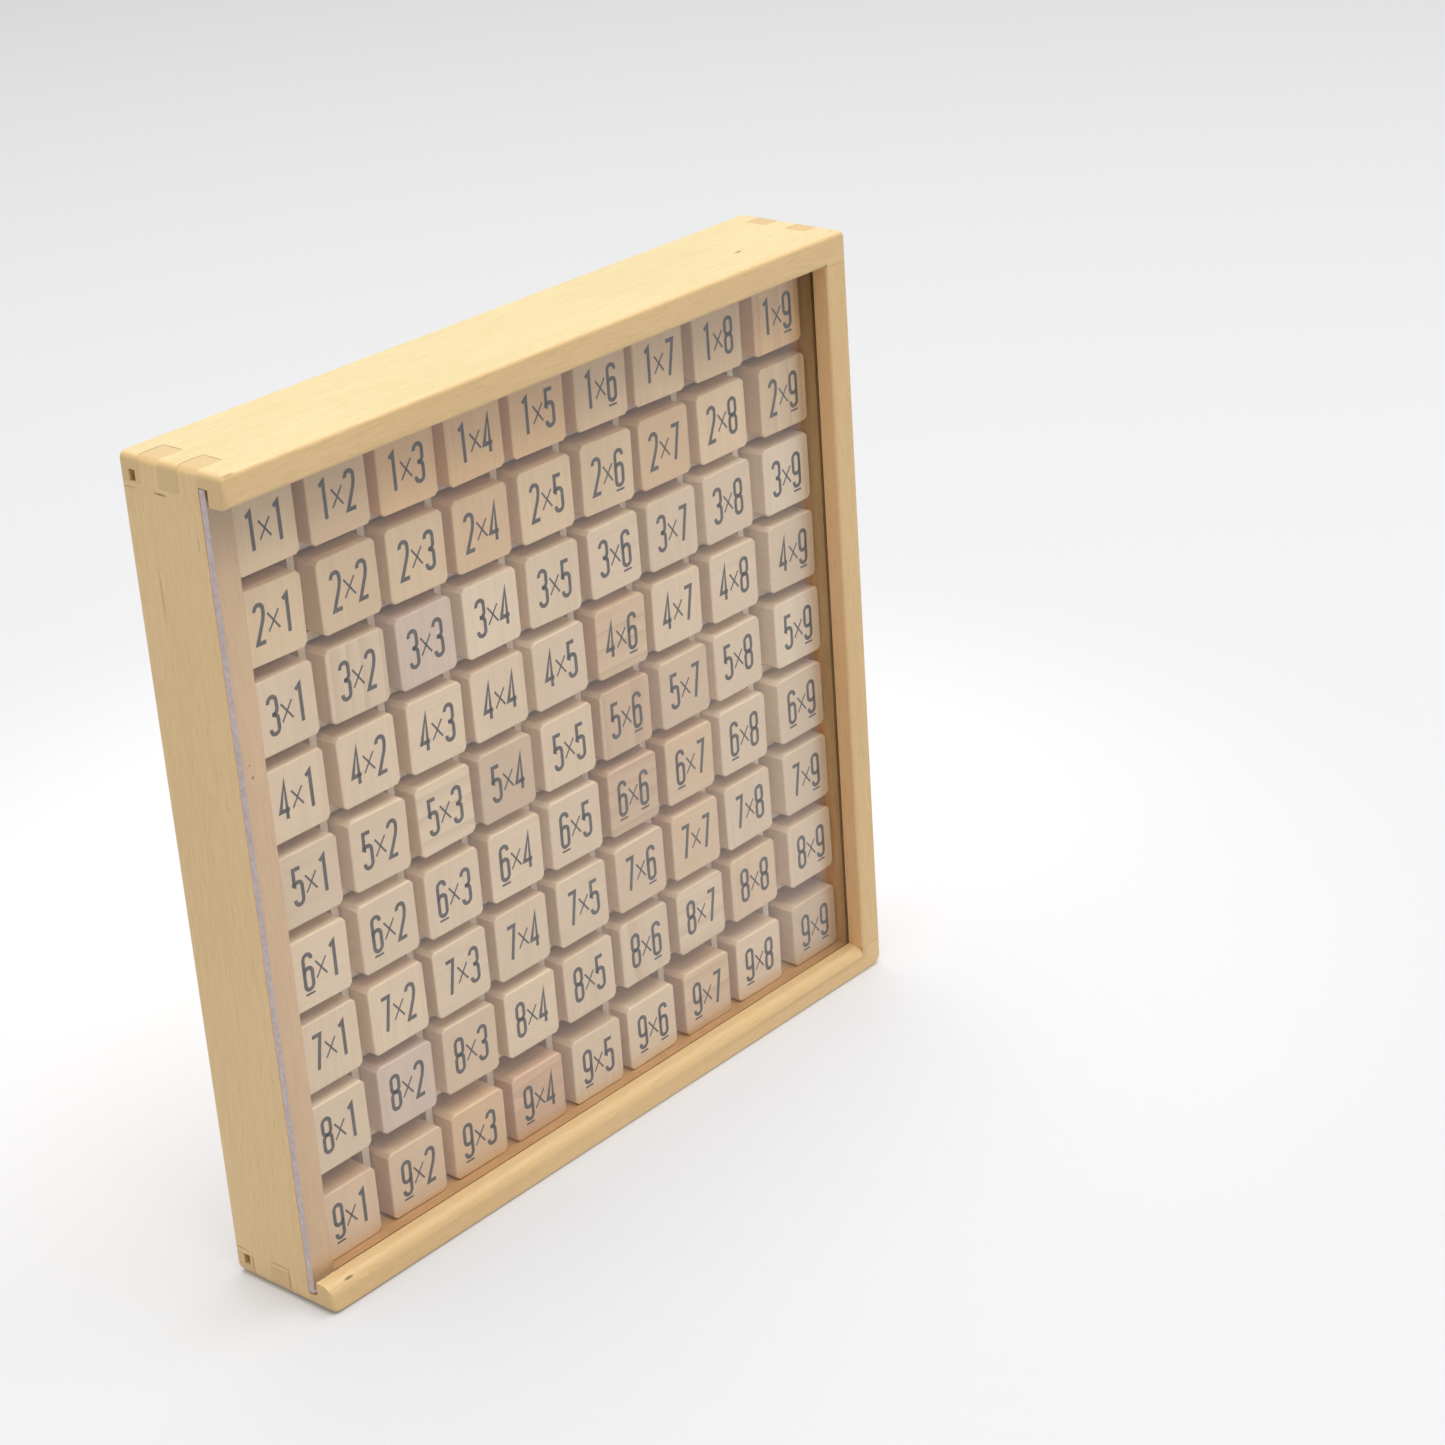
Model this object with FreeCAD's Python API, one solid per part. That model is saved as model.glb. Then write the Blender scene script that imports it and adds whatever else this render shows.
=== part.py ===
import FreeCAD, Part
import math
import os
import random

# Multiplication tile board: a shallow case of four grooved wooden rails with finger-jointed corners.
# It stands upright and holds 81 loose cube tiles in a grid of crossed strips, behind a clear lid that
# slides out to the left over the cut-back left rail. The front faces -Y, and the origin lies under the
# middle of the case.

# Driving dimensions, in millimetres
tile_rows = 9
tile_columns = 9
tile_size = 15.2
tile_depth = 14.7
tile_corner_ease = 0.9
tile_arris = 0.25
tile_play = 1.0
tile_roll_limit = 0.9
tile_stand_off_limit = 0.3
tile_lean_least = 0.1
tile_lean_most = 0.7
last_tile_lean_least = 0.5
last_tile_lean_most = 0.97

strip_thickness = 1.8
strip_depth = 9.7
strip_slot_clearance = 0.1
strip_end_clearance = 0.1

rail_thickness = 6.5
wall_set_back = 1.2
lip_depth = 4.1
top_lip_radius = 1.0
bottom_lip_radius = 2.4
side_lip_radius = 0.5
rear_recess = 2.7
fingers_behind_lip = 4

lid_thickness = 1.5
lid_front_play = 0.9
lid_clearance = 0.15
lid_groove_depth = 3.3
lid_end_clearance = 0.2
lid_arris = 0.2
lid_to_tiles = 2.35

panel_thickness = 1.6
panel_clearance = 0.1
panel_groove_depth = 2.3

top_corner_radius = 1.5
bottom_corner_radius = 2.5
case_edge_radius = 1.0

# The grid sets the opening between the lips, and the opening sets the case
pitch = tile_size + tile_play + strip_thickness
opening_width = tile_columns * pitch
opening_height = tile_rows * pitch
case_width = opening_width + 2 * rail_thickness
case_height = opening_height + 2 * rail_thickness

# Heights above the outer face of a rail: behind its lip, the inner face is a wall that lies further out
wall_height = rail_thickness - wall_set_back
lid_groove_floor = rail_thickness - lid_groove_depth

# Depths, measured back from the front of the case
lid_front = lip_depth + lid_front_play
groove_back = lid_front + lid_thickness + lid_clearance
tile_front = groove_back + lid_to_tiles
panel_front = tile_front + tile_depth
panel_back = panel_front + panel_thickness
case_depth = panel_back + rear_recess
finger_depth = (case_depth - groove_back) / fingers_behind_lip

case_left = -case_width / 2
case_right = case_width / 2
lip_right = case_right - rail_thickness
lip_bottom = rail_thickness
lip_top = case_height - rail_thickness
inner_left = case_left + rail_thickness
inner_right = case_right - wall_height
inner_bottom = wall_height
inner_top = case_height - wall_height
panel_groove_back = panel_back + panel_clearance
strip_front = panel_front - strip_depth
strip_middle = panel_front - strip_depth / 2
strip_slot_half = strip_thickness / 2 + strip_slot_clearance


def point(x, depth, z):
    """A point of the case, its depth measured back from the front."""
    return FreeCAD.Vector(x, depth - case_depth / 2, z)


def box(x0, x1, depth0, depth1, z0, z1):
    """A box between two depths behind the front of the case."""
    return Part.makeBox(x1 - x0, depth1 - depth0, z1 - z0, point(x0, depth0, z0))


def near(value, other):
    """Whether two lengths are the same."""
    return abs(value - other) < 1e-6


def runs_deep(edge):
    """Whether an edge runs straight from front to back."""
    start, end = edge.firstVertex().Point, edge.lastVertex().Point
    return near(start.x, end.x) and near(start.z, end.z)


def rim_edges(shape):
    """The edges that lie in the front and back faces of a shape."""
    return [edge for edge in shape.Edges if near(edge.BoundBox.YLength, 0)]


def case_form():
    """The sanded outer form of the glued-up case, which rounds the ends of rails and fingers alike."""
    form = box(case_left, case_right, 0, case_depth, 0, case_height)
    for corner_z, radius in ((case_height, top_corner_radius), (0, bottom_corner_radius)):
        corners = [edge for edge in form.Edges if runs_deep(edge) and near(edge.CenterOfMass.z, corner_z)]
        form = form.makeFillet(radius, corners)
    return form.makeFillet(case_edge_radius, rim_edges(form))


def rail_section(origin, inward, front_depth):
    """The outline of a rail, with its lip, its lid groove and the panel groove in its wall."""
    has_lip = front_depth < lip_depth
    wall = wall_height if has_lip else rail_thickness
    panel_floor = wall - panel_groove_depth
    corners = [(front_depth, 0), (front_depth, rail_thickness)]
    if has_lip:
        corners += [(lip_depth, rail_thickness), (lip_depth, lid_groove_floor),
                    (groove_back, lid_groove_floor), (groove_back, wall)]
    corners += [(panel_front, wall), (panel_front, panel_floor),
                (panel_groove_back, panel_floor), (panel_groove_back, wall),
                (case_depth, wall), (case_depth, 0), (front_depth, 0)]
    outline = [origin + inward * height + FreeCAD.Vector(0, depth, 0) for depth, height in corners]
    return Part.Face(Part.makePolygon(outline))


def lip_rounding(origin, inward, radius, run):
    """What sanding takes off the inner front edge of a lip, along a run of the rail."""
    edge = origin + inward * rail_thickness
    on_front = edge - inward * radius
    on_inside = edge + FreeCAD.Vector(0, radius, 0)
    centre = on_front + FreeCAD.Vector(0, radius, 0)
    middle = centre + (edge - centre) * math.sqrt(0.5)
    rim = [Part.makeLine(edge, on_front), Part.Arc(on_front, middle, on_inside).toShape(),
           Part.makeLine(on_inside, edge)]
    return Part.Face(Part.Wire(rim)).extrude(run)


def finger_zones(of_side_rails):
    """Pairs of depths between which a corner belongs to the side rails, or to the top and bottom rails."""
    zones = [] if of_side_rails else [(0, groove_back)]
    for finger in range(fingers_behind_lip):
        if (finger % 2 == 0) == of_side_rails:
            start = groove_back + finger * finger_depth
            zones.append((start, start + finger_depth))
    return zones


def level_rail(z_outer, inward_z, lip_radius):
    """The top or bottom rail: its lip is rounded up to the right rail, and side fingers pass through it."""
    origin = point(case_left, 0, z_outer)
    inward = FreeCAD.Vector(0, 0, inward_z)
    rail = rail_section(origin, inward, 0).extrude(FreeCAD.Vector(case_width, 0, 0))
    rail = rail.cut(lip_rounding(origin, inward, lip_radius, FreeCAD.Vector(lip_right - case_left, 0, 0)))
    z0 = min(z_outer, z_outer + inward_z * rail_thickness)
    z1 = z0 + rail_thickness
    for depth0, depth1 in finger_zones(of_side_rails=True):
        rail = rail.cut(box(case_left, inner_left, depth0, depth1, z0, z1))
        rail = rail.cut(box(inner_right, case_right, depth0, depth1, z0, z1))
    return rail.common(case_form())


def side_rail(x_outer, inward_x, front_depth):
    """The left or right rail, its fingers reaching through the top and bottom rails."""
    origin = point(x_outer, 0, 0)
    inward = FreeCAD.Vector(inward_x, 0, 0)
    run = FreeCAD.Vector(0, 0, case_height)
    rail = rail_section(origin, inward, front_depth).extrude(run)
    if front_depth < lip_depth:
        rail = rail.cut(lip_rounding(origin, inward, side_lip_radius, run))
    x0 = min(x_outer, x_outer + inward_x * rail_thickness)
    x1 = x0 + rail_thickness
    for depth0, depth1 in finger_zones(of_side_rails=False):
        at_lip = near(depth0, 0)
        rail = rail.cut(box(x0, x1, depth0, depth1, 0, lip_bottom if at_lip else inner_bottom))
        rail = rail.cut(box(x0, x1, depth0, depth1, lip_top if at_lip else inner_top, case_height))
    return rail.common(case_form())


def back_panel():
    """The thin board that closes the back, held in the grooves of all four rails."""
    reach = panel_groove_depth - panel_clearance
    return box(inner_left - reach, inner_right + reach, panel_front, panel_back,
               inner_bottom - reach, inner_top + reach)


def sliding_lid():
    """The clear sheet in the grooves, its left end flush with the side of the case."""
    margin = lid_groove_floor + lid_end_clearance
    sheet = box(case_left, case_right - margin, lid_front, lid_front + lid_thickness,
                margin, case_height - margin)
    return sheet.makeChamfer(lid_arris, sheet.Edges)


def upright_strip(column_line):
    """A strip between two columns, slotted from behind over the level strips."""
    x = inner_left + column_line * pitch
    half = strip_thickness / 2
    strip = box(x - half, x + half, strip_front, panel_front,
                inner_bottom + strip_end_clearance, inner_top - strip_end_clearance)
    for row_line in range(1, tile_rows):
        z = lip_bottom + row_line * pitch
        slot = box(x - half, x + half, strip_middle, panel_front, z - strip_slot_half, z + strip_slot_half)
        strip = strip.cut(slot)
    return strip


def level_strip(row_line):
    """A strip that carries a row of tiles, slotted from the front under the upright strips."""
    z = lip_bottom + row_line * pitch
    half = strip_thickness / 2
    strip = box(inner_left + strip_end_clearance, inner_right - strip_end_clearance,
                strip_front, panel_front, z - half, z + half)
    slot_back = strip_middle + strip_slot_clearance
    for column_line in range(1, tile_columns):
        x = inner_left + column_line * pitch
        slot = box(x - strip_slot_half, x + strip_slot_half, strip_front, slot_back, z - half, z + half)
        strip = strip.cut(slot)
    return strip


def tile_form():
    """One cube tile about its own centre, its four long corners cut back and both faces eased."""
    half = tile_size / 2
    cube = Part.makeBox(tile_size, tile_depth, tile_size, FreeCAD.Vector(-half, -tile_depth / 2, -half))
    cube = cube.makeChamfer(tile_corner_ease, [edge for edge in cube.Edges if runs_deep(edge)])
    return cube.makeChamfer(tile_arris, rim_edges(cube))


def cell_walls(column):
    """The left and right wall of a column: the upright strips beside it, or a rail at the ends."""
    left = inner_left + (column - 1) * pitch + strip_thickness / 2
    right = inner_left + column * pitch - strip_thickness / 2
    return (inner_left if column == 1 else left), (inner_right if column == tile_columns else right)


def tile_row(row):
    """The loose tiles of a row, each lying its own way on its strip or, in the last row, on the rail."""
    chance = random.Random(row)
    shelf = inner_bottom
    if row < tile_rows:
        shelf = lip_top - row * pitch + strip_thickness / 2
    tiles = []
    for column in range(1, tile_columns + 1):
        roll = chance.uniform(-tile_roll_limit, tile_roll_limit)
        stand_off = chance.uniform(0, tile_stand_off_limit)
        tile = tile_form()
        tile.rotate(FreeCAD.Vector(0, 0, 0), FreeCAD.Vector(0, 1, 0), roll)
        left_wall, right_wall = cell_walls(column)
        free_room = right_wall - left_wall - tile.BoundBox.XLength
        lean = chance.uniform(tile_lean_least, tile_lean_most)
        if column == tile_columns:
            lean = chance.uniform(last_tile_lean_least, last_tile_lean_most)
        x = left_wall + lean * free_room - tile.BoundBox.XMin
        z = shelf - tile.BoundBox.ZMin
        tile.translate(point(x, panel_front - tile_depth / 2 - stand_off, z))
        tiles.append(tile)
    return Part.makeCompound(tiles)


pieces = {
    "top_rail": level_rail(case_height, -1, top_lip_radius),
    "bottom_rail": level_rail(0, 1, bottom_lip_radius),
    "left_rail": side_rail(case_left, 1, groove_back),
    "right_rail": side_rail(case_right, -1, 0),
    "back_panel": back_panel(),
    "sliding_lid": sliding_lid(),
}
for line in range(1, tile_columns):
    pieces["upright_strip_%d" % line] = upright_strip(line)
for line in range(1, tile_rows):
    pieces["level_strip_%d" % line] = level_strip(line)
for row in range(1, tile_rows + 1):
    pieces["tile_row_%d" % row] = tile_row(row)

os.makedirs("parts", exist_ok=True)
for name, shape in pieces.items():
    shape.exportStep("parts/%s.step" % name)
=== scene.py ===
import math
import random

import bmesh
import bpy
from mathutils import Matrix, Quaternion, Vector


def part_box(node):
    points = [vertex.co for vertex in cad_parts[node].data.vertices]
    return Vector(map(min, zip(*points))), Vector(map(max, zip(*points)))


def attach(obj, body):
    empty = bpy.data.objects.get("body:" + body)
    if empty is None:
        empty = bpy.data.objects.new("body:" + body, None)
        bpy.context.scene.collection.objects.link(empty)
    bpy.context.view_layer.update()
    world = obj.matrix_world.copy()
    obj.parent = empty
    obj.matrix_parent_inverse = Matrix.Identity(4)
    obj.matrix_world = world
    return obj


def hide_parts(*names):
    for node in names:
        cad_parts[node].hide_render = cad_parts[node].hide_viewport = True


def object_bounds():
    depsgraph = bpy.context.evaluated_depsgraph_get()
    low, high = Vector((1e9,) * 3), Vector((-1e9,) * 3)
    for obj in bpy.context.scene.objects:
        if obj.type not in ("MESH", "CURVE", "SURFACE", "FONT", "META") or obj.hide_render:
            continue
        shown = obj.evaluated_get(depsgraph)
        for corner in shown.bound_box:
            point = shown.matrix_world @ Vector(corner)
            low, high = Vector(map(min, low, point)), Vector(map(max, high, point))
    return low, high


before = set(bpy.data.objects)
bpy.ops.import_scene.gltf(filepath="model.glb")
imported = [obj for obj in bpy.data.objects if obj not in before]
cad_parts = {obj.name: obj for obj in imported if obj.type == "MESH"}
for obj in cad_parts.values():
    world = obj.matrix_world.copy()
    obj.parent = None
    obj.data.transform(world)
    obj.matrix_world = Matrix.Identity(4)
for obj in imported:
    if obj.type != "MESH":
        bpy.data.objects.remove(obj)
cad_low, cad_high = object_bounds()

# The camera looks at the board from above and from its left, as in the photograph. The board stands
# left of the middle of the frame, and the camera is turned a little about its own axis.
camera_place = Vector((-0.4280, -0.4344, 0.3607))
camera_azimuth = math.radians(-47.96)
camera_elevation = math.radians(24.10)
camera_roll = math.radians(-4.03)
sensor_width = 36.0
focal_pixels = 3239.3
frame_pixels = 1445
nearest_seen = 0.01

camera = bpy.data.objects.new("camera", bpy.data.cameras.new("camera"))
bpy.context.scene.collection.objects.link(camera)
bpy.context.scene.camera = camera
camera_back = Vector((
    math.sin(camera_azimuth) * math.cos(camera_elevation),
    -math.cos(camera_azimuth) * math.cos(camera_elevation),
    math.sin(camera_elevation),
))
camera.rotation_mode = "QUATERNION"
camera.rotation_quaternion = (-camera_back).to_track_quat("-Z", "Y") @ Quaternion((0, 0, 1), camera_roll)
camera.location = camera_place
camera.data.sensor_width = sensor_width
camera.data.lens = sensor_width * focal_pixels / frame_pixels
camera.data.clip_start = nearest_seen

# The four rails are planed strips of pale wood, sanded, varnished and glued with finger joints.
# The top and bottom rails run through at the front as lips, and the left rail is cut back behind
# the lid, so that the lid can slide out over it.
rail_ease = 0.00012
ease_steps = 2
rail_pale = (0.735, 0.520, 0.262)
rail_deep = (0.58, 0.375, 0.160)
rail_end = (0.585, 0.415, 0.195)
rail_grain = {"top_rail": "X", "bottom_rail": "X", "left_rail": "Z", "right_rail": "Z"}
rail_figure = {"top_rail": 0.55, "bottom_rail": 0.4, "left_rail": 0.55, "right_rail": 0.7}
rail_pith = {
    "top_rail": Vector((0.03, -0.060, 0.020)),
    "bottom_rail": Vector((0.11, 0.045, 0.035)),
    "left_rail": Vector((0.07, 0.055, -0.030)),
    "right_rail": Vector((0.19, -0.040, 0.050)),
}
rail_tint = {
    "top_rail": Vector((0.955, 0.945, 0.915)),
    "bottom_rail": Vector((0.97, 0.94, 0.90)),
    "left_rail": Vector((0.93, 0.925, 0.90)),
    "right_rail": Vector((0.92, 0.89, 0.85)),
}
# Painted sheen: the top face of the top rail is drawn less red and bluer, as the overhead light whitens it.
painted_top_sheen = Vector((0.885, 1.010, 1.055))
# Painted light: the left rail's front, behind the lid, is drawn lighter and pinker, for the pale reflection
# of the lid over it.
painted_veil_front_tint = Vector((1.12, 1.06, 1.14))
# Painted light: the inner side of the right rail's lip is drawn lighter and redder than the scene lights it.
painted_lip_side_light = Vector((1.13, 0.98, 0.95))
# Painted light and shade on the walls behind the lips: the top and bottom walls are drawn darker and more
# orange as painted shade, and the right wall lighter as painted light.
painted_wall_light_and_shade = {
    "top_rail": Vector((0.95, 0.76, 0.67)),
    "bottom_rail": Vector((0.80, 0.67, 0.64)),
    "right_rail": Vector((1.45, 1.16, 1.04)),
}
# Painted light: the lower half of the right wall is drawn lighter and warmer still.
painted_right_foot_light = Vector((1.43, 1.06, 0.80))
# Painted shade: the lid grooves of the top, bottom and right rails are drawn darker.
painted_groove_shade = {
    "top_rail": Vector((0.60, 0.42, 0.34)),
    "bottom_rail": Vector((0.60, 0.42, 0.34)),
    "right_rail": Vector((0.80, 0.64, 0.54)),
}
# Painted shade: the rail faces in the rear grooves, round the panel, are drawn nearly black.
painted_panel_groove_shade = Vector((0.16, 0.07, 0.05))
lip_depth = 0.0041
side_lip_radius = 0.0005
groove_height = 0.0030
wall_height = 0.0053
mark_depth = 0.0004
mark_core = 0.6
mark_rim = 1.2


def left_mark(y, z, half_y, half_z):
    """The middle and half sizes of a small mark on the left side of the case."""
    return Vector((cad_low.x, y, z)), Vector((mark_depth, half_y, half_z))


def top_mark(x, y, half_x, half_y):
    """The middle and half sizes of a small mark on the upper face of the case."""
    return Vector((x, y, cad_high.z)), Vector((half_x, half_y, mark_depth))


finger_seams = (
    left_mark(0.0006, 0.0065, 0.0029, 0.00020),
    left_mark(-0.0020, 0.0036, 0.00020, 0.0032),
    left_mark(0.0122, 0.0065, 0.0024, 0.00020),
    left_mark(0.0087, 0.0034, 0.00018, 0.0030),
    left_mark(0.0120, 0.1685, 0.0024, 0.00014),
    top_mark(-0.0842, 0.0087, 0.0032, 0.00014),
    top_mark(-0.0810, 0.0060, 0.00016, 0.0026),
    top_mark(-0.0842, -0.0020, 0.0032, 0.00014),
    top_mark(-0.0810, -0.0046, 0.00016, 0.0026),
)
dark_nicks = (
    top_mark(0.0637, -0.0046, 0.0011, 0.0004),
    (Vector((-0.0818, -0.0132, 0.0059)), Vector((0.0012, 0.0006, 0.00022))),
    (Vector((-0.0845, -0.0072, 0.1144)), Vector((0.0003, 0.0004, 0.0004))),
    (Vector((-0.0849, -0.0072, 0.1170)), Vector((0.0002, 0.0004, 0.0003))),
    left_mark(0.0033, 0.1685, 0.0018, 0.0002),
)
faint_scars = (
    left_mark(0.0068, 0.1479, 0.00022, 0.0056),
    left_mark(-0.0056, 0.1607, 0.00018, 0.0018),
)
lip_cracks = (
    (Vector((-0.0858, -0.0137, 0.1747)), Vector((0.0017, 0.0007, 0.00024))),
    (Vector((-0.0860, -0.0098, 0.0064)), Vector((0.0030, 0.0003, 0.0010))),
)
rail_marks = (
    {"spots": finger_seams, "strength": 0.55, "colour": (0.20, 0.12, 0.06)},
    {"spots": dark_nicks, "strength": 0.8, "colour": (0.10, 0.06, 0.03)},
    {"spots": faint_scars, "strength": 0.5, "colour": (0.24, 0.15, 0.06)},
    {"spots": lip_cracks, "strength": 0.6, "colour": (0.36, 0.17, 0.07)},
)

grain_axes = {"X": Vector((1, 0, 0)), "Y": Vector((0, 1, 0)), "Z": Vector((0, 0, 1))}
weld_gap = 1e-6
flat_angle = math.radians(1)
sharp_angle = math.radians(40)
crease_angle = math.radians(30)


def plain_form(node):
    """The solid's own form."""
    form = bmesh.new()
    form.from_mesh(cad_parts[node].data)
    bmesh.ops.remove_doubles(form, verts=form.verts, dist=weld_gap)
    bmesh.ops.dissolve_limit(form, angle_limit=flat_angle, verts=form.verts, edges=form.edges)
    return form


def eased_form(node, ease):
    """The solid's own form with its sharp edges taken off, as sanding leaves them."""
    form = plain_form(node)
    sharp = [edge for edge in form.edges
             if len(edge.link_faces) == 2 and edge.calc_face_angle() > sharp_angle]
    bmesh.ops.bevel(
        form, geom=sharp, offset=ease, segments=ease_steps, profile=0.5, affect="EDGES", clamp_overlap=True,
    )
    for name in ("timber_place", "timber_and_light_tint"):
        form.verts.layers.float_vector.new(name)
    for name in ("end_grain", "timber_figure"):
        form.verts.layers.float.new(name)
    return form


def finished_piece(name, form, node, material, body="case"):
    """Turns the form into a piece that stands for the node."""
    mesh = bpy.data.meshes.new(name)
    form.to_mesh(mesh)
    form.free()
    mesh.shade_smooth()
    mesh.set_sharp_from_angle(angle=crease_angle)
    mesh.materials.append(material)
    piece = bpy.data.objects.new(name, mesh)
    bpy.context.scene.collection.objects.link(piece)
    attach(piece, body)
    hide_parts(node)
    return piece


def keep_flats(piece):
    """Shades the flat faces of a piece flat beside its eased edges."""
    flats = piece.modifiers.new("flats", "WEIGHTED_NORMAL")
    flats.keep_sharp = True


def lay_timber(form, lie):
    """Stores, for each point, its place in the board it was sawn from and how far its faces cut the grain.

    lie(vert) gives the place in a board whose grain runs along X, that axis in the row frame, the tint, which
    holds the timber's tone and on many faces painted light or painted shade, and how strongly its rings show.
    """
    layers = form.verts.layers
    place_layer, tint_layer = layers.float_vector["timber_place"], layers.float_vector["timber_and_light_tint"]
    end_layer, figure_layer = layers.float["end_grain"], layers.float["timber_figure"]
    form.normal_update()
    for vert in form.verts:
        vert[place_layer], grain, vert[tint_layer], vert[figure_layer] = lie(vert)
        vert[end_layer] = max((abs(face.normal.dot(grain)) for face in vert.link_faces), default=0)


def add_node(tree, kind, inputs=None, **settings):
    """A shader node with its inputs set, or linked where a socket is given."""
    node = tree.nodes.new("ShaderNode" + kind)
    for key, value in settings.items():
        setattr(node, key, value)
    for key, value in (inputs or {}).items():
        if isinstance(value, bpy.types.NodeSocket):
            tree.links.new(value, node.inputs[key])
        else:
            node.inputs[key].default_value = value
    return node


def opaque(colour):
    """The colour with full alpha, as a colour socket takes it."""
    return (*colour, 1.0)


def blend_colour(tree, share, first, second, mode="MIX"):
    """The colour socket of a mix. The share is a number or a socket, and so is each colour."""
    inputs = {0: share, 6: first, 7: second}
    for key in (6, 7):
        if not isinstance(inputs[key], bpy.types.NodeSocket):
            inputs[key] = opaque(inputs[key])
    return add_node(tree, "Mix", inputs, data_type="RGBA", blend_type=mode, clamp_factor=True).outputs[2]


def ranged(tree, value, span, result, **settings):
    """The number socket that carries a value over from one span to another."""
    inputs = {0: value, 1: span[0], 2: span[1], 3: result[0], 4: result[1]}
    return add_node(tree, "MapRange", inputs, **settings).outputs[0]


def calculated(tree, operation, first, second=0.0, clamp=False):
    """The number socket of one step of arithmetic."""
    return add_node(tree, "Math", {0: first, 1: second}, operation=operation, use_clamp=clamp).outputs[0]


def shifted(tree, operation, first, second):
    """The vector socket of one step of vector arithmetic."""
    return add_node(tree, "VectorMath", {0: first, 1: second}, operation=operation).outputs[0]


def stretched(tree, place, stretch):
    """The place as a texture takes it that runs long with the grain: the smaller the stretch, the longer."""
    return add_node(tree, "Mapping", {"Vector": place, "Scale": (stretch, 1, 1)}).outputs[0]


def noise(tree, place, scale, detail):
    """The outputs of a noise texture."""
    return add_node(tree, "TexNoise", {"Vector": place, "Scale": scale, "Detail": detail}).outputs


def mark_shade(tree, spots, strength):
    """How dark the small marks are, each an ellipsoid given by its middle and half sizes in the row frame."""
    spot = add_node(tree, "TexCoord").outputs["Object"]
    shade = 0.0
    for middle, halves in spots:
        offset = shifted(tree, "SUBTRACT", spot, tuple(middle))
        offset = shifted(tree, "DIVIDE", offset, tuple(halves))
        distance = add_node(tree, "VectorMath", {0: offset}, operation="LENGTH").outputs["Value"]
        mark = ranged(tree, distance, (mark_core, mark_rim), (strength, 0.0))
        shade = calculated(tree, "MAXIMUM", mark, shade)
    return shade


# How sawn wood is drawn. A span is the stretch of a texture's values that shows. A stretch below one
# draws a texture longer along the grain.
wave_radians = 20
ring_stretch = 0.06
ring_distortion = 0.6
ring_sharpness = 2.2
wander_scale = 90.0
wander_reach = 0.008
fleck_stretch = 0.14
fleck_scale = 2100.0
cloud_stretch = 0.35
cloud_scale = 45.0
fibre_span = (0.35, 0.68)
fleck_span = (0.60, 0.74)
cloud_span = (0.35, 0.65)
cloud_tones = (-0.06, 0.12)
end_span = (0.6, 0.9)
end_strength = 0.75
rough_span = (0.3, 0.7)
smoother = 0.06
rougher = 0.08
coat_roughness = 0.3
relief_strength = 0.12
relief_height = 0.0002


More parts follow.
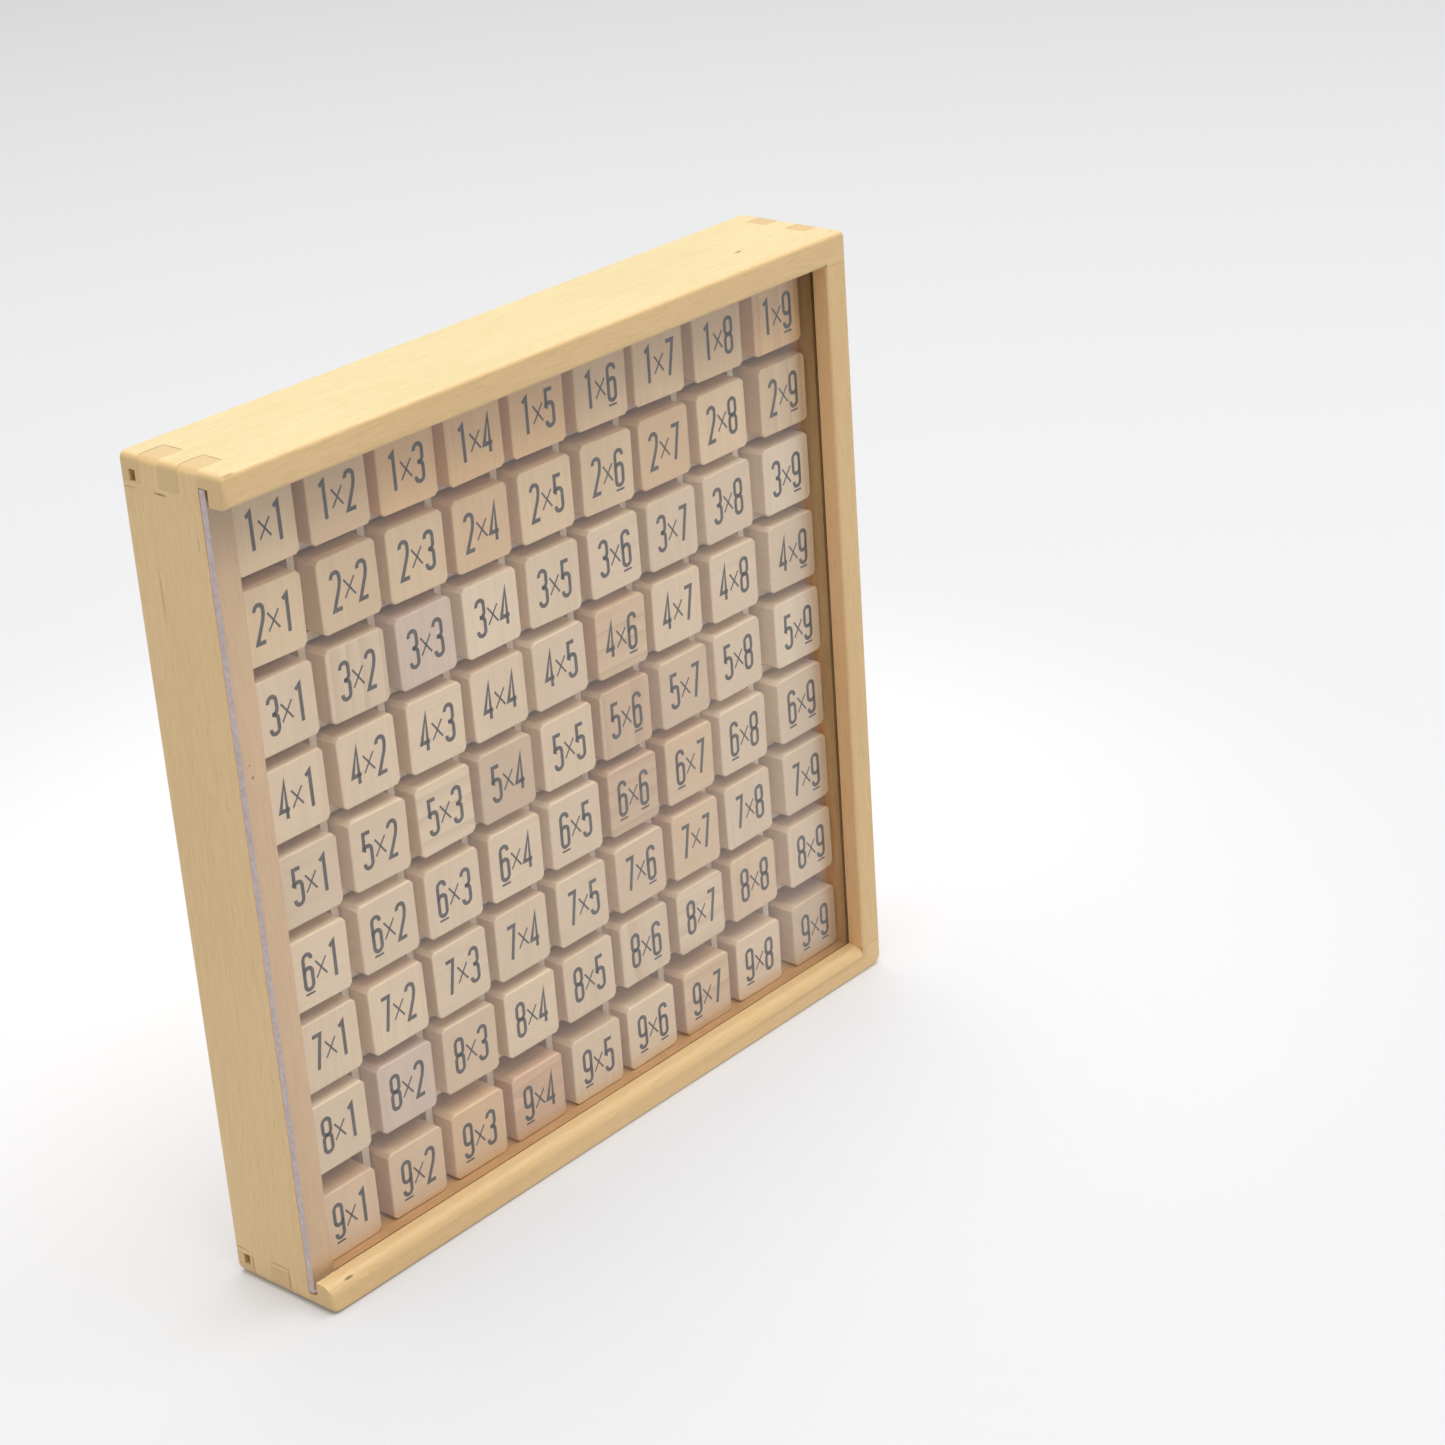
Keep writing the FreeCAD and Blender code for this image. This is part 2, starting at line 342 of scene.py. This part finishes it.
def wood(name, pale, deep, end, ring_gap, ring_share, fibre_share, fleck_share, roughness, coat=0.0,
         grain=None, fibre_scale=1100.0, fibre_stretch=0.04, marks=()):
    """Sawn wood: growth rings, long fibres, short dark flecks and darker end grain.

    The grain follows what lay_timber stored in the mesh, or an axis of the row frame where grain names one.
    """
    material = bpy.data.materials.new(name)
    material.use_nodes = True
    tree = material.node_tree
    surface = tree.nodes["Principled BSDF"]
    if grain is None:
        place = add_node(tree, "Attribute", attribute_name="timber_place").outputs["Vector"]
        across = add_node(tree, "Attribute", attribute_name="end_grain").outputs["Fac"]
    else:
        spot = add_node(tree, "TexCoord").outputs
        turn = {"X": (0, 0, 0), "Z": (0, math.pi / 2, 0)}[grain]
        place = add_node(tree, "Mapping", {"Vector": spot["Object"], "Rotation": turn}).outputs[0]
        turned = add_node(tree, "Mapping", {"Vector": spot["Normal"], "Rotation": turn}).outputs[0]
        parts = add_node(tree, "SeparateXYZ", {0: turned})
        across = calculated(tree, "ABSOLUTE", parts.outputs[0])
    across = ranged(tree, across, end_span, (0.0, 1.0))

    ring_place = stretched(tree, place, ring_stretch)
    wander = noise(tree, ring_place, wander_scale, 2.0)["Color"]
    wander = shifted(tree, "SUBTRACT", wander, (0.5, 0.5, 0.5))
    wander = shifted(tree, "MULTIPLY", wander, (wander_reach,) * 3)
    ring_place = shifted(tree, "ADD", ring_place, wander)
    ring_scale = 2 * math.pi / (wave_radians * ring_gap)
    rings = add_node(
        tree, "TexWave",
        {"Vector": ring_place, "Scale": ring_scale, "Distortion": ring_distortion, "Detail": 2.0},
        wave_type="RINGS", rings_direction="X", wave_profile="SAW",
    ).outputs["Fac"]
    rings = calculated(tree, "POWER", rings, ring_sharpness)
    ring_tone = calculated(tree, "MULTIPLY", rings, ring_share)
    if grain is None:
        figure = add_node(tree, "Attribute", attribute_name="timber_figure").outputs["Fac"]
        ring_tone = calculated(tree, "MULTIPLY", ring_tone, figure)

    fibres = noise(tree, stretched(tree, place, fibre_stretch), fibre_scale, 4.0)["Fac"]
    flecks = noise(tree, stretched(tree, place, fleck_stretch), fleck_scale, 1.0)["Fac"]
    cloud = noise(tree, stretched(tree, place, cloud_stretch), cloud_scale, 2.0)["Fac"]
    fibre_tone = ranged(tree, fibres, fibre_span, (0.0, fibre_share))
    fleck_tone = ranged(tree, flecks, fleck_span, (0.0, fleck_share))
    cloud_tone = ranged(tree, cloud, cloud_span, cloud_tones)
    tone = calculated(tree, "ADD", ring_tone, fibre_tone)
    tone = calculated(tree, "ADD", tone, fleck_tone)
    tone = calculated(tree, "ADD", tone, cloud_tone, clamp=True)
    colour = blend_colour(tree, tone, pale, deep)
    end_share = calculated(tree, "MULTIPLY", across, end_strength)
    colour = blend_colour(tree, end_share, colour, end)
    if grain is None:
        # The stored tint holds the timber's tone and the painted light and shade laid on some faces.
        tint = add_node(tree, "Attribute", attribute_name="timber_and_light_tint").outputs["Color"]
        colour = blend_colour(tree, 1.0, colour, tint, mode="MULTIPLY")
    for group in marks:
        shade = mark_shade(tree, group["spots"], group["strength"])
        colour = blend_colour(tree, shade, colour, group["colour"])
    tree.links.new(colour, surface.inputs["Base Color"])
    rough = ranged(tree, fibres, rough_span, (roughness - smoother, roughness + rougher))
    tree.links.new(rough, surface.inputs["Roughness"])
    surface.inputs["Coat Weight"].default_value = coat
    surface.inputs["Coat Roughness"].default_value = coat_roughness
    relief = {"Height": fibres, "Strength": relief_strength, "Distance": relief_height}
    tree.links.new(add_node(tree, "Bump", relief).outputs[0], surface.inputs["Normal"])
    return material


rail_wood = wood(
    "varnished_rail", rail_pale, rail_deep, rail_end, ring_gap=0.0026, ring_share=0.13, fibre_share=0.26,
    fleck_share=0.32, roughness=0.42, coat=0.15, fibre_scale=1900.0, fibre_stretch=0.09, marks=rail_marks,
)
margin = rail_ease / 2
panel_front, panel_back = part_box("back_panel")[0][1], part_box("back_panel")[1][1]


def inset(co):
    """How far a point of a rail lies inside the outer form of the case, seen from the front."""
    return min(co.x - cad_low.x, cad_high.x - co.x, co.z - cad_low.z, cad_high.z - co.z)


def rail_face_tint(node, rail_front, co):
    """The tint of a rail where the point lies: its own tone, or painted light or shade on its top, front,
    lip, grooves or walls.
    """
    behind_lip = co.y > rail_front + lip_depth - margin
    if inset(co) > margin and panel_front - rail_ease < co.y < panel_back + 2 * rail_ease:
        return painted_panel_groove_shade
    if node == "top_rail" and co.z > cad_high.z - margin:
        return painted_top_sheen
    if node == "left_rail":
        return painted_veil_front_tint if co.y < rail_front + margin else rail_tint[node]
    if behind_lip and inset(co) > wall_height - 1.5 * rail_ease:
        at_foot = node == "right_rail" and co.z < (cad_low.z + cad_high.z) / 2
        return painted_right_foot_light if at_foot else painted_wall_light_and_shade[node]
    if behind_lip and inset(co) > groove_height - margin:
        return painted_groove_shade[node]
    if node == "right_rail" and inset(co) > wall_height and co.y > rail_front + side_lip_radius / 2:
        return painted_lip_side_light
    return rail_tint[node]


for node, grain_name in rail_grain.items():
    rail = eased_form(node, rail_ease)
    rail_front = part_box(node)[0][1]

    def rail_lie(vert):
        """Each rail is cut from another place in the board, with the grain along its length."""
        co = vert.co
        along, side = (co.x, co.z) if grain_name == "X" else (co.z, co.x)
        place = Vector((along, co.y, side)) + rail_pith[node]
        return place, grain_axes[grain_name], rail_face_tint(node, rail_front, co), rail_figure[node]

    lay_timber(rail, rail_lie)
    piece = finished_piece(node + "_sanded", rail, node, rail_wood)
    keep_flats(piece)

# The back is a thin sheet of plain wood, slid into the rear grooves of the rails before the last
# rail is glued on. It is left bare.
panel_pale = (0.80, 0.58, 0.34)
panel_deep = (0.64, 0.43, 0.22)
# The panel's end faces, which show only in the rail grooves, are drawn a dark red-brown.
panel_end = (0.20, 0.10, 0.06)
panel_wood = wood(
    "bare_panel", panel_pale, panel_deep, panel_end, ring_gap=0.004, ring_share=0.4, fibre_share=0.4,
    fleck_share=0.25, roughness=0.6, grain="X",
)


def dress(node, material):
    """Gives a solid that stays as it is its own material."""
    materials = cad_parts[node].data.materials
    materials.clear()
    materials.append(material)


dress("back_panel", panel_wood)

# The sixteen strips are thin slats of bare wood, half-lapped into each other. They part the cells
# of the grid, and the level ones carry the tiles.
strip_pale = (0.88, 0.75, 0.60)
strip_deep = (0.74, 0.56, 0.38)
strip_end = (0.66, 0.48, 0.31)
for prefix, grain_name in (("upright_strip", "Z"), ("level_strip", "X")):
    strip_wood = wood(
        "bare_" + prefix, strip_pale, strip_deep, strip_end, ring_gap=0.002, ring_share=0.3,
        fibre_share=0.4, fleck_share=0.1, roughness=0.6, grain=grain_name,
    )
    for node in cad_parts:
        if node.startswith(prefix):
            dress(node, strip_wood)

# The tiles are small cubes of pale hardwood, tumbled so that every edge is soft. They lie loose in
# the grid, each cut from another place in the board.
tile_rows = 9
tile_columns = 9
tile_ease = 0.00012
tile_face_depth = 0.0002
face_flatness = 1e-5
tile_pale = (0.915, 0.71, 0.48)
tile_deep = (0.71, 0.505, 0.31)
tile_end = (0.77, 0.555, 0.355)
tile_wood = wood(
    "tumbled_tile", tile_pale, tile_deep, tile_end, ring_gap=0.0036, ring_share=0.55, fibre_share=0.22,
    fleck_share=0.10, roughness=0.55,
)
plain_figure = 0.15
strong_figure = 1.0
plain_shift = 0.5
strong_shift = 0.06
tile_tint_spread = 0.035
# Painted shade: every tile face but the printed one is drawn darker, for the shade between the tiles.
painted_tile_side_shade = Vector((0.93, 0.91, 0.89))
# Painted light: the tiles of rows one and two, under the top lip, are drawn warmer, for the wood-coloured
# light under the lip.
painted_under_lip_warmth = {1: Vector((1.09, 1.01, 0.88)), 2: Vector((1.03, 0.99, 0.89))}
open_tint = Vector((1, 1, 1))
# Tints of odd tiles: most are the tone of their wood; cream is partly paler wood and partly painted light,
# lifting tiles that the scene lights too little.
odd_timber_and_light = {
    "grey": Vector((0.90, 0.90, 1.02)),
    "ruddy": Vector((0.93, 0.80, 0.75)),
    "deep": Vector((0.86, 0.78, 0.73)),
    "honey": Vector((0.95, 0.88, 0.82)),
    "shaded": Vector((0.93, 0.92, 0.92)),
    "cream_and_lit": Vector((1.08, 1.13, 1.17)),
    "golden": Vector((1.07, 0.99, 0.86)),
}
tiles_of_timber_and_light = {
    "grey": ((3, 3), (8, 2)),
    "ruddy": ((9, 4),),
    "deep": ((5, 6), (6, 6)),
    "honey": ((2, 4), (2, 7), (4, 6), (6, 7), (7, 7), (8, 8), (9, 1), (9, 2), (9, 7)),
    "golden": ((1, 3), (1, 4), (1, 5), (1, 9), (9, 3)),
    "shaded": ((2, 2), (5, 1), (5, 4)),
    "cream_and_lit": (
        (1, 1), (3, 4), (3, 8), (3, 9), (4, 5), (4, 9), (5, 2), (5, 8), (5, 9), (6, 2), (6, 5), (6, 8),
        (6, 9), (7, 9), (8, 1),
    ),
}
timber_and_light_of_tile = {tile: odd_timber_and_light[name] for name, tiles in tiles_of_timber_and_light.items() for tile in tiles}
upright_figure = {(1, 9), (2, 9), (8, 6), (3, 2), (5, 6)}
level_figure = {(9, 7), (5, 3), (6, 6), (9, 4), (4, 6), (8, 7)}


def loose_parts(form):
    """The groups of points that hang together, from left to right."""
    rest = set(form.verts)
    parts = []
    while rest:
        part, edge_of_part = set(), [rest.pop()]
        while edge_of_part:
            vert = edge_of_part.pop()
            part.add(vert)
            for edge in vert.link_edges:
                other = edge.other_vert(vert)
                if other in rest:
                    rest.remove(other)
                    edge_of_part.append(other)
        parts.append(part)
    return sorted(parts, key=lambda part: sum(vert.co.x for vert in part) / len(part))


def tile_frame(part):
    """The middle of a tile's face and the directions along its width and height."""
    front = min(vert.co.y for vert in part)
    face = [vert.co for vert in part if vert.co.y < front + face_flatness]
    middle = sum(face, Vector()) / len(face)
    lowest = sorted(face, key=lambda co: co.z)[:2]
    left, right = sorted(lowest, key=lambda co: co.x)
    across = (right - left).normalized()
    return middle, across, Vector((-across.z, 0, across.x))


def tinted(tint, other):
    """Both tints one over the other."""
    return Vector([a * b for a, b in zip(tint, other)])


tile_faces = {}
tile_chance = random.Random(4)
for row in range(1, tile_rows + 1):
    node = "tile_row_%d" % row
    plain = plain_form(node)
    for column, part in enumerate(loose_parts(plain), 1):
        tile_faces[row, column] = tile_frame(part)
    plain.free()
    form = eased_form(node, tile_ease)
    cuts = {}
    for column, part in enumerate(loose_parts(form), 1):
        tile = row, column
        figured = tile in upright_figure or tile in level_figure
        turn = tile_chance.choice(("X", "Z", "Z", "Y"))
        turn = "Z" if tile in upright_figure else "X" if tile in level_figure else turn
        shift = Vector([tile_chance.uniform(-1, 1) for axis in range(3)])
        shift *= strong_shift if figured else plain_shift
        tint = Vector([1 + tile_chance.uniform(-1, 1) * tile_tint_spread] * 3)
        tint = tinted(timber_and_light_of_tile.get(tile, tint), painted_under_lip_warmth.get(row, open_tint))
        figure = strong_figure if figured else plain_figure
        for vert in part:
            cuts[vert] = (turn, shift, tile_faces[tile][0], tint, figure)

    def tile_lie(vert):
        """The printed face is the palest; the other faces are drawn darker, as painted shade between the
        tiles.
        """
        turn, shift, middle, tint, figure = cuts[vert]
        x, y, z = vert.co - middle
        if y > tile_face_depth:
            tint = tinted(tint, painted_tile_side_shade)
        place = {"X": (x, y, z), "Y": (y, z, x), "Z": (z, x, y)}[turn]
        return Vector(place) + shift, grain_axes[turn], tint, figure

    lay_timber(form, tile_lie)
    piece = finished_piece("tumbled_tiles_row_%d" % row, form, node, tile_wood)
    keep_flats(piece)

# The numbers are printed on the tile faces in one dark ink, in tall narrow figures. A six or a nine
# has a short bar under it, so that a loose tile shows which way up it belongs.
figure_width = 0.00290
figure_height = 0.00830
figure_stroke = 0.00086
figure_spread = 0.00335
figure_rise = 0.0003
cross_width = 0.0027
cross_height = 0.0037
cross_stroke = 0.00042
bar_width = 0.0024
bar_stroke = 0.00046
bar_drop = 0.0005
barred_numbers = (6, 9)
ink_lift = 0.00002
print_slip = 0.0002
ink_fresh = (0.075, 0.062, 0.056)
ink_worn = (0.17, 0.14, 0.12)
ink_roughness = 0.55
bow_steps = 10
same_point = 1e-7
sharpest_miter = 0.35


def bow(x, z, radius, start, end):
    """Points on an arc about x, z, from one angle to another, in degrees."""
    points = []
    for step in range(bow_steps + 1):
        angle = math.radians(start + (end - start) * step / bow_steps)
        points.append((x + radius * math.cos(angle), z + radius * math.sin(angle)))
    return points


def figure_strokes():
    """The middle lines of the figures one to nine, each a list of strokes."""
    w, h = (figure_width - figure_stroke) / 2, (figure_height - figure_stroke) / 2
    top, bottom = h - w, -h + w
    cut = h - 0.32 * h
    waist = 0.03 * h
    six = [
        [(w, cut)] + bow(0, top, w, 0, 180) + bow(0, bottom, w, 180, 360) + bow(0, 0.22 * h - w, w, 0, 180),
    ]
    return {
        1: [[(-0.75 * w, h - 0.75 * w), (0.25 * w, h), (0.25 * w, -h)]],
        2: [[(-w, cut)] + bow(0, top, w, 180, 0)
            + [(w, 0.45 * h), (0.72 * w, 0.12 * h), (-w, -h), (w, -h)]],
        3: [[(-w, cut)] + bow(0, top, w, 180, 0) + bow(0, waist + w, w, 0, -90) + [(-0.3 * w, waist)],
            [(-0.3 * w, waist)] + bow(0, waist - w, w, 90, 0) + bow(0, bottom, w, 0, -180) + [(-w, -cut)]],
        4: [[(0.5 * w, -h), (0.5 * w, h), (-1.1 * w, -0.5 * h), (1.15 * w, -0.5 * h)]],
        5: [[(0.9 * w, h), (-0.85 * w, h), (-0.85 * w, 0.12 * h)] + bow(0, 0.26 * h - w, w, 150, 0)
            + bow(0, bottom, w, 0, -180) + [(-w, -cut)]],
        6: six,
        7: [[(-w, h), (w, h), (-0.25 * w, -h)]],
        8: [bow(0, top, w, 180, 0) + bow(0, waist + w, w, 0, -180) + [(-w, top)],
            bow(0, bottom, w, 180, 360) + bow(0, waist - w, w, 0, 180) + [(-w, bottom)]],
        9: [[(-x, -z) for x, z in stroke] for stroke in six],
    }


def ribbon(form, points, width, to_space):
    """A flat stroke of ink along a line of points, with mitred corners and square ends."""
    line = []
    for point in map(Vector, points):
        if not line or (point - line[-1]).length > same_point:
            line.append(point)
    closed = (line[0] - line[-1]).length < same_point
    if closed:
        line.pop()
    count = len(line)
    rims = []
    for index, point in enumerate(line):
        before = line[index - 1] if closed or index > 0 else None
        after = line[(index + 1) % count] if closed or index < count - 1 else None
        way_in = (point - before).normalized() if before is not None else (after - point).normalized()
        way_out = (after - point).normalized() if after is not None else way_in
        normal_in = Vector((-way_in.y, way_in.x))
        normal_out = Vector((-way_out.y, way_out.x))
        miter = (normal_in + normal_out).normalized()
        reach = miter * (width / 2 / max(miter.dot(normal_out), sharpest_miter))
        rims.append([form.verts.new(to_space(rim)) for rim in (point + reach, point - reach)])
    for index in range(count if closed else count - 1):
        a, b = rims[index], rims[(index + 1) % count]
        form.faces.new((a[0], a[1], b[1], b[0]))


ink = bpy.data.materials.new("printing_ink")
ink.use_nodes = True
ink_tree = ink.node_tree
ink_surface = ink_tree.nodes["Principled BSDF"]
ink_spot = add_node(ink_tree, "TexCoord").outputs["Object"]
ink_wear = noise(ink_tree, ink_spot, 1500.0, 3.0)["Fac"]
ink_share = ranged(ink_tree, ink_wear, (0.4, 0.75), (0.0, 0.6))
ink_colour = blend_colour(ink_tree, ink_share, ink_fresh, ink_worn)
ink_tree.links.new(ink_colour, ink_surface.inputs["Base Color"])
ink_surface.inputs["Roughness"].default_value = ink_roughness

strokes_of = figure_strokes()
print_chance = random.Random(9)
for row in range(1, tile_rows + 1):
    form = bmesh.new()
    for column in range(1, tile_columns + 1):
        middle, across, up = tile_faces[row, column]
        slip = Vector((print_chance.uniform(-1, 1), print_chance.uniform(-1, 1))) * print_slip

        def on_tile(point, spread=0.0, rise=0.0):
            """The place in space of a point of the print, given from the middle of the tile's face."""
            x, z = point[0] + spread + slip.x, point[1] + rise + slip.y
            return middle + across * x + up * z - Vector((0, ink_lift, 0))

        for number, side in ((row, -1), (column, 1)):
            spread = side * figure_spread
            for stroke in strokes_of[number]:
                ribbon(form, stroke, figure_stroke, lambda point: on_tile(point, spread, figure_rise))
            if number in barred_numbers:
                bar_z = figure_rise - figure_height / 2 - bar_drop
                bar = [(-bar_width / 2, bar_z), (bar_width / 2, bar_z)]
                ribbon(form, bar, bar_stroke, lambda point: on_tile(point, spread))
        for lean in (-1, 1):
            arm = [(-cross_width / 2, -lean * cross_height / 2), (cross_width / 2, lean * cross_height / 2)]
            ribbon(form, arm, cross_stroke, on_tile)
    mesh = bpy.data.meshes.new("numbers_row_%d" % row)
    form.to_mesh(mesh)
    form.free()
    mesh.materials.append(ink)
    numbers = bpy.data.objects.new("numbers_row_%d" % row, mesh)
    bpy.context.scene.collection.objects.link(numbers)
    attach(numbers, "case")

# The lid is a clear acrylic sheet, sawn to size, its cut edges left milky. It runs in the front grooves
# of the rails and slides out to the left over the cut-back rail.
sheet_colour = (0.99, 0.985, 0.995)
sheet_shade = (0.985, 0.985, 0.99)
acrylic_ior = 1.49
edge_deep = (0.42, 0.345, 0.355)
edge_pale = (0.56, 0.465, 0.475)
edge_roughness = 0.45
clear_face = 0.9

clear_sheet = bpy.data.materials.new("clear_lid_sheet")
clear_sheet.use_nodes = True
sheet_tree = clear_sheet.node_tree
sheet_surface = sheet_tree.nodes["Principled BSDF"]
sheet_surface.inputs["Base Color"].default_value = opaque(sheet_colour)
sheet_surface.inputs["Roughness"].default_value = 0.0
sheet_surface.inputs["IOR"].default_value = acrylic_ior
sheet_surface.inputs["Transmission Weight"].default_value = 1.0
light_way = add_node(sheet_tree, "LightPath")
lit_through = add_node(sheet_tree, "BsdfTransparent", {"Color": opaque(sheet_shade)})
sheet_mix = add_node(
    sheet_tree, "MixShader",
    {0: light_way.outputs["Is Shadow Ray"], 1: sheet_surface.outputs[0], 2: lit_through.outputs[0]},
)
sheet_tree.links.new(sheet_mix.outputs[0], sheet_tree.nodes["Material Output"].inputs["Surface"])

sawn_edge = bpy.data.materials.new("sawn_lid_edge")
sawn_edge.use_nodes = True
edge_tree = sawn_edge.node_tree
edge_surface = edge_tree.nodes["Principled BSDF"]
edge_spot = add_node(edge_tree, "TexCoord").outputs["Object"]
saw_marks = noise(edge_tree, edge_spot, 900.0, 3.0)["Fac"]
saw_share = ranged(edge_tree, saw_marks, (0.35, 0.7), (0.0, 1.0))
edge_colour = blend_colour(edge_tree, saw_share, edge_deep, edge_pale)
edge_tree.links.new(edge_colour, edge_surface.inputs["Base Color"])
edge_surface.inputs["Roughness"].default_value = edge_roughness

lid_form = plain_form("sliding_lid")
lid_form.normal_update()
for face in lid_form.faces:
    face.material_index = 0 if abs(face.normal.y) > clear_face else 1
lid = finished_piece("clear_sliding_lid", lid_form, "sliding_lid", clear_sheet, body="lid")
lid.data.materials.append(sawn_edge)
lid.data.shade_flat()

# The board stands on a plain pale floor with a soft glow painted into it round the board, as on a light
# table, under a broad soft light from above, with a pale room round it.
floor_radius = 6.0
floor_colour = (0.592, 0.589, 0.595)
floor_roughness = 0.7
# The glow is painted light: the floor itself shines, brightest round the board, and lifts the board's shadow.
glow_middle = (0.06, 0.08, 0)
glow_reach = (0.06, 0.25)
glow_strength = 0.16
glow_colour = (1.0, 0.985, 0.995)
room_colour = (1.0, 0.98, 0.95)
room_strength = 0.59
lamp_place = Vector((0.06, -0.14, 1.9))
lamp_width = 2.4
lamp_power = 55
lamp_colour = (0.955, 0.98, 1.0)

floor_form = bmesh.new()
bmesh.ops.create_circle(floor_form, cap_ends=True, segments=96, radius=floor_radius)
floor_mesh = bpy.data.meshes.new("floor")
floor_form.to_mesh(floor_mesh)
floor_form.free()
floor = bpy.data.objects.new("floor", floor_mesh)
bpy.context.scene.collection.objects.link(floor)
pale_floor = bpy.data.materials.new("pale_floor")
pale_floor.use_nodes = True
floor_tree = pale_floor.node_tree
floor_surface = floor_tree.nodes["Principled BSDF"]
floor_surface.inputs["Base Color"].default_value = opaque(floor_colour)
floor_surface.inputs["Roughness"].default_value = floor_roughness
floor_spot = add_node(floor_tree, "TexCoord").outputs["Object"]
from_glow = add_node(floor_tree, "VectorMath", {0: floor_spot, 1: glow_middle}, operation="DISTANCE")
glow = ranged(
    floor_tree, from_glow.outputs["Value"], glow_reach, (glow_strength, 0.0), interpolation_type="SMOOTHSTEP",
)
floor_tree.links.new(glow, floor_surface.inputs["Emission Strength"])
floor_surface.inputs["Emission Color"].default_value = opaque(glow_colour)
floor_mesh.materials.append(pale_floor)

room = bpy.data.worlds.new("pale_room")
room.use_nodes = True
room_light = room.node_tree.nodes["Background"]
room_light.inputs["Color"].default_value = opaque(room_colour)
room_light.inputs["Strength"].default_value = room_strength
bpy.context.scene.world = room

lamp = bpy.data.lights.new("overhead_light", "AREA")
lamp.shape = "SQUARE"
lamp.size = lamp_width
lamp.energy = lamp_power
lamp.color = lamp_colour
overhead_light = bpy.data.objects.new("overhead_light", lamp)
bpy.context.scene.collection.objects.link(overhead_light)
overhead_light.location = lamp_place
overhead_light.rotation_euler = (-lamp_place).to_track_quat("-Z", "Y").to_euler()

bpy.context.scene.view_settings.view_transform = "Standard"
